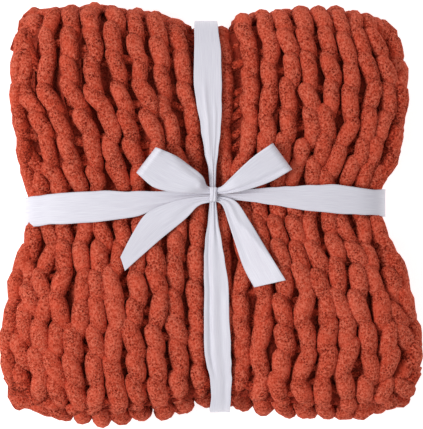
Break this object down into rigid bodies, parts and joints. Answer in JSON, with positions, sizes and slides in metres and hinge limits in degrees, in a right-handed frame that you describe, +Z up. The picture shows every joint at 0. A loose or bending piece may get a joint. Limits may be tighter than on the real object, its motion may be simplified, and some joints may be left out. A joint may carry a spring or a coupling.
{
  "type": "folded chunky knit blanket",
  "caption": "Square folded bundle of a chunky chenille rib-like knit throw, drawn in and held crosswise by a flat satin ribbon tied in a bow; rests flat on its underside.",
  "frame": {"origin": "on the floor under the middle of the bundle's box", "axes": "+X across the knitted ropes, +Y along the ropes, +Z up out of the bow; the folds turn at the ends along Y"},
  "size_m": [0.4044, 0.4062, 0.1542],
  "materials": {
    "chenille_knit": "fuzzy chenille yarn in burnt orange",
    "satin_ribbon": "smooth white satin"
  },
  "bodies": {
    "root": {"blanket": "chenille_knit", "ribbon_lengthwise": "satin_ribbon", "ribbon_crosswise": "satin_ribbon", "ribbon_knot": "satin_ribbon", "bow_loop_left": "satin_ribbon", "bow_loop_right": "satin_ribbon", "bow_tail_left": "satin_ribbon", "bow_tail_right": "satin_ribbon"}
  },
  "joints": []
}
